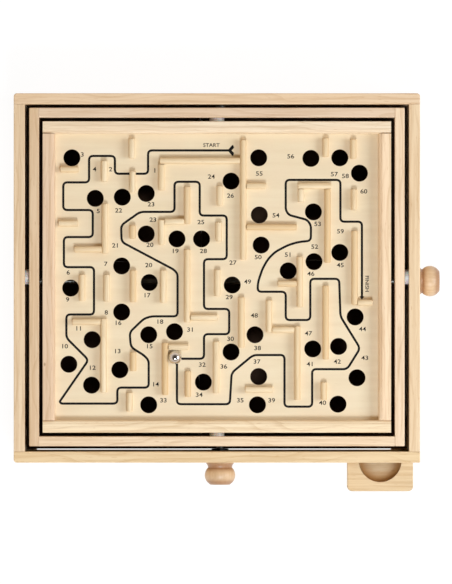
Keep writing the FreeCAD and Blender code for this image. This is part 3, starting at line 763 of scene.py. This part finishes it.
def rounded(points, radius):
    """A line's points with each corner replaced by a short curve."""
    corners = [Vector(point) for point in points]
    smooth = [corners[0]]
    for before, corner, after in zip(corners, corners[1:], corners[2:]):
        reach = min(radius, CORNER_SHARE * (corner - before).length,
                    CORNER_SHARE * (after - corner).length)
        enter = corner + (before - corner).normalized() * reach
        leave = corner + (after - corner).normalized() * reach
        for i in range(CORNER_STEPS + 1):
            t = i / CORNER_STEPS
            smooth.append(enter * (1 - t) ** 2 + corner * 2 * t * (1 - t) + leave * t ** 2)
    return smooth + [corners[-1]]


def ribbon(bm, points, width, z):
    """A flat printed line, as a thin closed solid."""
    rings = []
    for i, point in enumerate(points):
        ahead = (points[min(i + 1, len(points) - 1)] - points[max(i - 1, 0)]).normalized()
        side = Vector((-ahead.y, ahead.x)) * (width / MM / 2)
        left = point + side
        right = point - side
        rings.append([on_board(*left, z), on_board(*right, z), on_board(*right, z + INK_T),
                      on_board(*left, z + INK_T)])
    loft(bm, rings)


def lettering(bm, text, x, y, height, widen, turn=0.0):
    """Plain characters in the built-in font, as thin closed solids."""
    curve = bpy.data.curves.new("lettering", "FONT")
    curve.body = text
    curve.size = height / CAP_SHARE
    curve.align_x = "CENTER"
    curve.align_y = "CENTER"
    curve.resolution_u = 3
    curve.extrude = INK_T / MM / 2
    curve.offset = LETTER_BOLD
    holder = bpy.data.objects.new("lettering", curve)
    mesh = bpy.data.meshes.new_from_object(holder)
    place = on_board(x, y, INK_Z + INK_T / 2)
    mesh.transform(Matrix.Translation(place) @ Matrix.Rotation(turn, 4, "Z")
                   @ Matrix.Diagonal((MM * widen, MM, MM, 1.0)))
    bm.from_mesh(mesh)
    bpy.data.objects.remove(holder)
    bpy.data.curves.remove(curve)
    bpy.data.meshes.remove(mesh)


def make_printing():
    ink = ink_material()
    bm = bmesh.new()
    ribbon(bm, rounded(ROUTE, LINE_CORNER), LINE_W, INK_Z)
    for outline in ROUTE_ENDS:
        loft(bm, [[on_board(x, y, z) for x, y in outline] for z in (MARK_Z, MARK_Z + INK_T)])
    route = make_piece("printed_route", bm, [ink])
    bm = bmesh.new()
    for number, x, y in NUMBERS:
        lettering(bm, str(number), x, y, NUMBER_H, NUMBER_WIDEN)
    for word, x, y, turn in WORDS:
        lettering(bm, word, x, y, WORD_H, WORD_WIDEN, turn)
    bmesh.ops.remove_doubles(bm, verts=bm.verts, dist=1e-6)
    numbers = make_piece("printed_numbers", bm, [ink])
    for piece in (route, numbers):
        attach(piece, "maze_board")


# ---- knobs -------------------------------------------------------------------------------
KNOB_BARREL = 14.0 * MM         # from a knob's waist to its end
KNOB_BORE = 12.0 * MM
KNOB_SIDES = 96
KNOB_WAIST_R = 10.6 * MM        # a knob is painted in full shade where it is thinner than this
KNOB_UNSHADED_R = 12.3 * MM      # and painted with no shade where it is this thick


def arc_points(first, peak, last, count):
    """Points on the circle through three (along, radius) points."""
    ax, ay = first
    bx, by = peak
    cx, cy = last
    a2 = ax * ax + ay * ay
    b2 = bx * bx + by * by
    c2 = cx * cx + cy * cy
    double_area = 2 * (ax * (by - cy) + bx * (cy - ay) + cx * (ay - by))
    middle_x = (a2 * (by - cy) + b2 * (cy - ay) + c2 * (ay - by)) / double_area
    middle_y = (a2 * (cx - bx) + b2 * (ax - cx) + c2 * (bx - ax)) / double_area
    radius = math.hypot(ax - middle_x, ay - middle_y)
    start = math.atan2(ay - middle_y, ax - middle_x)
    end = math.atan2(cy - middle_y, cx - middle_x)
    turn = (end - start + math.pi) % (2 * math.pi) - math.pi
    angles = [start + turn * i / count for i in range(count + 1)]
    return [(middle_x + radius * math.cos(a), middle_y + radius * math.sin(a)) for a in angles]


def knob_outline(collar, bore_r):
    """A knob's outline from the bottom of its bore to the middle of its end, (along, radius).

    `collar` is the distance from its base to its waist, in mm.
    """
    end = collar + KNOB_BARREL / MM
    mm = [(KNOB_BORE / MM, bore_r / MM), (0.0, bore_r / MM), (0.0, 10.9), (0.15, 11.15)]
    mm += arc_points((0.2 * collar + 0.1, 11.2), (0.52 * collar, 10.3), (0.85 * collar, 9.9), 8)
    mm += [(collar - 0.15, 9.85)]
    mm += arc_points((collar, 9.8), (collar + 5.6, 12.5), (end - 0.9, 9.0), 28)
    mm += [(end - 0.45, 8.6), (end - 0.1, 8.1), (end, 7.6), (end - 0.1, 4.0), (end - 0.12, 0.4)]
    return [(s * MM, r * MM) for s, r in mm]


def make_knob(node, base, axis, material):
    """A turned knob whose base faces the wall at `base`, in place of its CAD node."""
    low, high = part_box(node)
    length = max(abs((high - low).dot(axis)), KNOB_BARREL)
    shaft_low, shaft_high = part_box(node.replace("knob", "shaft"))
    bore_r = (shaft_high.z - shaft_low.z) / 2
    up = Vector((0, 0, 1))
    side = axis.cross(up)
    bm = bmesh.new()
    layer = bm.verts.layers.float.new("wear")
    outline = knob_outline((length - KNOB_BARREL) / MM, bore_r)
    rings = [circle(base + axis * s, side, up, r, KNOB_SIDES) for s, r in outline]
    # the painted shade's mask, from 0 in the waist to 1 where the knob is thick
    for i, vertex in enumerate(loft(bm, rings)):
        thickness = outline[i // KNOB_SIDES][1]
        out_of_shade = (thickness - KNOB_WAIST_R) / (KNOB_UNSHADED_R - KNOB_WAIST_R)
        vertex[layer] = min(1.0, max(0.0, out_of_shade))
    piece = make_piece(node + "_turned", bm, [material])
    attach(piece, node.replace("knob", "control"))
    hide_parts(node)


def make_knobs():
    tone = srgb(211, 182, 145)
    low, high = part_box("front_knob")
    front_base = Vector(((low.x + high.x) / 2, high.y, (low.z + high.z) / 2))
    make_knob("front_knob", front_base, Vector((0, -1, 0)),
              turned_wood("knob_wood_front", tone, ALONG_Y, 5))
    low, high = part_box("right_knob")
    right_base = Vector((low.x, (low.y + high.y) / 2, (low.z + high.z) / 2))
    make_knob("right_knob", right_base, Vector((1, 0, 0)),
              turned_wood("knob_wood_right", tone, ALONG_X, 6))


# ---- cords -------------------------------------------------------------------------------
CORD_R = 0.4 * MM
CORD_TURNS = 3
CORD_OFFSET = (CORD_TURNS + 1) * CORD_R     # the stretches leave at the two ends of the turns
EYE_OUT = 3.0 * MM                          # from a screw eye's middle to the outside of its ring
SPRING_L = 14.0 * MM
SPRING_COIL_R = 1.85 * MM
SPRING_WIRE_R = 0.32 * MM
SPRING_COILS = 15
SPRING_STUB = 1.6 * MM                      # straight wire at each end of a spring
SPRING_NECK = 0.1                           # radius of the end coil over the middle ones'
SPRING_FLARE = 12.0                         # how fast the coils widen from there
SPRING_COIL_STEPS = 14
SPRING_WIRE_SIDES = 8
KNOT_FROM_END = 0.8 * MM


def eye_centres(node, across):
    """The middles of the two screw eyes' rings, low side first, along the `across` axis."""
    low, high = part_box(node)
    centres = []
    for end in (low[across] + EYE_OUT, high[across] - EYE_OUT):
        centre = (low + high) / 2
        centre.z = low.z + EYE_OUT
        centre[across] = end
        centres.append(centre)
    return centres


def leaving_angle(drum, eye, across, wound_r):
    """The angle round the drum, from the `across` axis, where the cord leaves for an eye."""
    run = eye[across] - drum[across]
    rise = math.atan2(eye.z - drum.z, abs(run))
    reach = math.hypot(run, eye.z - drum.z)
    turn = rise + math.acos(wound_r / reach)
    return turn if run > 0 else math.pi - turn


def round_drum(drum, along, across, shift, angle, wound_r):
    """A point on the winding, `shift` along the shaft and at an angle round it."""
    point = drum.copy()
    point[along] += shift
    point[across] += wound_r * math.cos(angle)
    point.z += wound_r * math.sin(angle)
    return point


def coil_spring(name, start, end, body):
    """A tension spring between two points, closed wound, with a short straight wire at each end."""
    run = (end - start).normalized()
    side = run.orthogonal().normalized()
    up = run.cross(side)
    coil_length = (end - start).length - 2 * SPRING_STUB
    steps = SPRING_COILS * SPRING_COIL_STEPS
    path = [start, start + run * (SPRING_STUB / 2)]
    for i in range(steps + 1):
        t = i / steps
        angle = 2 * math.pi * SPRING_COILS * t
        taper = min(1.0, SPRING_NECK + SPRING_FLARE * min(t, 1 - t))
        outward = side * math.cos(angle) + up * math.sin(angle)
        path.append(start + run * (SPRING_STUB + coil_length * t) + outward * SPRING_COIL_R * taper)
    path += [end - run * (SPRING_STUB / 2), end]
    bm = bmesh.new()
    tube(bm, path, SPRING_WIRE_R, SPRING_WIRE_SIDES)
    piece = make_piece(name + "_coiled", bm, [STEEL])
    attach(piece, body)
    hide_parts(name)


def make_cord(shaft, cord, along, across, nodes, bodies, control):
    """The turns of one cord on its shaft, its two stretches, and the spring in the second.

    The shaft runs along the axis `along` and the stretches along the axis `across`. `nodes`
    are the two stretches' CAD nodes, low side first. `bodies` are the two that the stretches
    run between, the one at the shaft's end first, and `control` is the shaft's own body.
    """
    drum = middle(shaft)
    drum[along] = middle(cord + "_turns")[along]
    wound_r = (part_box(shaft)[1].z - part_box(shaft)[0].z) / 2 + CORD_R
    eyes = eye_centres(cord + "_eyes", across)
    angles = [leaving_angle(drum, eye, across, wound_r) for eye in eyes]
    turned = angles[1] - 2 * math.pi * CORD_TURNS - angles[0]
    steps = round(abs(turned) * wound_r / CORD_STEP)
    path = [round_drum(drum, along, across, CORD_OFFSET * (2 * i / steps - 1),
                       angles[0] + turned * i / steps, wound_r)
            for i in range(steps + 1)]
    bm = bmesh.new()
    twisted_cord(bm, path, CORD_R)
    turns = make_piece(cord + "_winding", bm, [CORD])
    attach(turns, control)
    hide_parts(cord + "_turns")
    for node, eye, angle, sprung in zip(nodes, eyes, angles, (False, True)):
        shift = CORD_OFFSET if sprung else -CORD_OFFSET
        start = round_drum(drum, along, across, shift, angle, wound_r)
        run = (eye - start).normalized()
        near_eye = eye - run * EYE_OUT
        cord_end = near_eye - run * SPRING_L if sprung else near_eye
        bm = bmesh.new()
        twisted_cord(bm, line_points(start, cord_end), CORD_R, (KNOT_FROM_END, 2 * KNOT_FROM_END))
        stretch = make_piece(node + "_twisted", bm, [CORD])
        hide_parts(node)
        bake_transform(stretch, *bodies, start=start, end=near_eye)
        if sprung:
            coil_spring(cord + "_spring", cord_end, near_eye, bodies[1])


def make_cords():
    make_cord("right_shaft", "frame_cord", 0, 1, ("frame_cord_front", "frame_cord_back"),
              ("box", "tilt_frame"), "right_control")
    make_cord("front_shaft", "board_cord", 1, 0, ("board_cord_left", "board_cord_right"),
              ("tilt_frame", "maze_board"), "front_control")


# ---- the CAD nodes' materials ------------------------------------------------------------
# Each wooden node's colour, grain and seed. The rail and rim on the left have darker tones than those on the
# right.
WOODS = {
    "back_wall": ((230, 204, 169), ALONG_X, 11),
    "front_wall": ((230, 205, 162), ALONG_X, 12),
    "left_wall": ((229, 205, 170), ALONG_Y, 13),
    "right_wall": ((232, 208, 171), ALONG_Y, 14),
    "ball_tray": ((220, 197, 158), ALONG_X, 15),
    "frame_rail_back": ((226, 203, 175), ALONG_X, 21),
    "frame_rail_front": ((236, 212, 179), ALONG_X, 22),
    "frame_rail_left": ((222, 196, 161), ALONG_Y, 23),
    "frame_rail_right": ((238, 214, 182), ALONG_Y, 24),
    "board_rim_back": ((239, 221, 191), ALONG_X, 31),
    "board_rim_front": ((242, 222, 186), ALONG_X, 32),
    "board_rim_left": ((226, 200, 169), ALONG_Y, 33),
    "board_rim_right": ((243, 218, 183), ALONG_Y, 34),
    "floor_batten_left": ((214, 182, 140), ALONG_Y, 41),
    "floor_batten_right": ((214, 182, 140), ALONG_Y, 42),
    "floor_batten_back": ((214, 182, 140), ALONG_X, 43),
}
# The pieces with painted shade, each with the mask of it.
PAINTED_SHADE_MASKS = {"ball_tray": in_dish}
PINE_RINGS = 0.26               # how strongly the growth rings show
TRAY_RINGS = 0.14


def dress(nodes, material):
    for node in nodes:
        NODES[node].material_slots[0].material = material


def dress_nodes():
    for node, (tone, grain, seed) in WOODS.items():
        rings = TRAY_RINGS if node == "ball_tray" else PINE_RINGS
        painted_shade_mask = PAINTED_SHADE_MASKS.get(node)
        dress([node], wood("wood_" + node, srgb(*tone), grain, seed, rings=rings, painted_shade_mask=painted_shade_mask))
    dress(["maze_panel"], plywood("panel_ply", srgb(237, 221, 188), 51, PANEL_TOP))
    # The floor's dark brown is partly the hardboard's own colour and partly painted shade for the dark
    # inside of the box.
    dress(["floor_panel"], hardboard("floor_hardboard", srgb(62, 42, 27)))
    dress(["steel_ball"], ball_material())
    dress(["frame_pivot_washers", "board_pivot_washers"], nylon_material())
    dress(["frame_pivot_pins", "board_pivot_pins", "box_brads", "frame_brads", "frame_cord_eyes",
           "board_cord_eyes", "right_shaft_clip", "front_shaft_clip"], STEEL)
    # The shafts' grey is darker than the other steel's: partly their own dull steel and partly painted
    # shade, which keeps them dim inside the box.
    grey = srgb(150, 150, 146)
    dress(["right_shaft"], metal("shaft_steel_right", grey, 0.34, 0.5, (9.0, 0.15, 0.15)))
    dress(["front_shaft"], metal("shaft_steel_front", grey, 0.34, 0.5, (0.15, 9.0, 0.15)))
    # Painted shade: the washers inside the walls are given dark steel for the shade they sit in.
    dress(["right_shaft_washer", "front_shaft_washer"],
          metal("blackened_steel", srgb(62, 60, 60), 0.35, 0.55, (0.6, 0.6, 0.6)))


FLOOR_SIZE = 12.0
FLOOR_DROP = 0.05 * MM          # keeps the floor clear of the object's underside


def make_floor():
    bm = bmesh.new()
    half = FLOOR_SIZE / 2
    outline = ((-half, -half), (half, -half), (half, half), (-half, half))
    bm.faces.new([bm.verts.new((x, y, 0.0)) for x, y in outline])
    floor = make_piece("studio_floor", bm, [floor_material()])
    floor.location.z = -FLOOR_DROP


set_camera()
set_light()
STEEL = metal("zinc_steel", srgb(198, 199, 200), 0.26, 0.42, (0.8, 0.8, 0.8))
CORD = cord_material()
dress_nodes()
make_barriers()
make_printing()
make_knobs()
make_cords()
make_floor()
